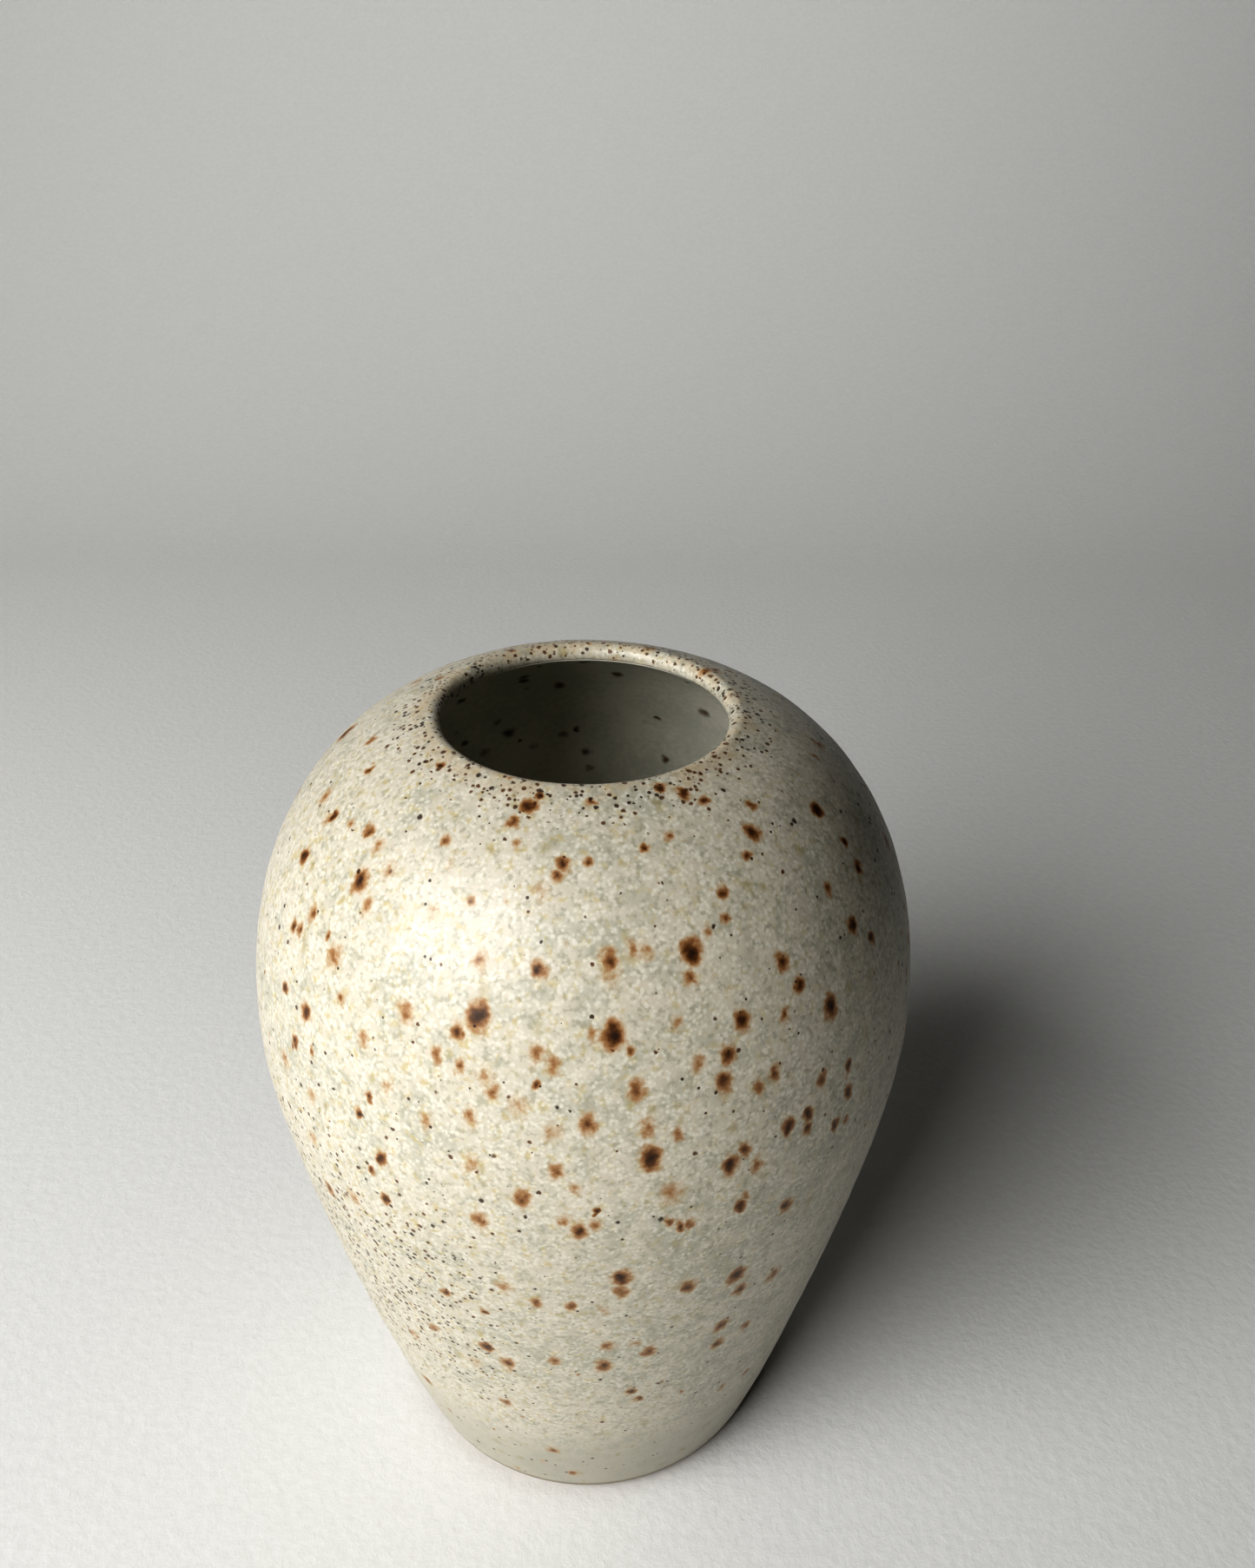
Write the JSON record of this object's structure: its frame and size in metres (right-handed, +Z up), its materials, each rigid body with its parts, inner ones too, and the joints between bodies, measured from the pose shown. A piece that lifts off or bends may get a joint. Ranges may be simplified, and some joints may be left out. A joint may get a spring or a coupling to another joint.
{
  "type": "bud vase",
  "caption": "Round-shouldered stoneware bud vase with a full belly, narrow turned foot and small rolled mouth for a stem or two, under a speckled satin cream-grey glaze.",
  "frame": {"origin": "centre of the foot ring's contact face, on the table", "axes": "+Z up along the wheel axis, through the mouth; +X and +Y lie in the table, the vase is round about +Z"},
  "size_m": [0.0885, 0.0884, 0.12],
  "materials": {
    "stoneware": "bare fired stoneware, fine grog, matt",
    "outer_glaze": "satin-matt cream-grey glaze with iron speckle",
    "inner_glaze": "satin liner glaze with sparse iron spots"
  },
  "bodies": {
    "root": {"stoneware_body": "stoneware", "outer_glaze": "outer_glaze", "inner_glaze": "inner_glaze"}
  },
  "joints": []
}
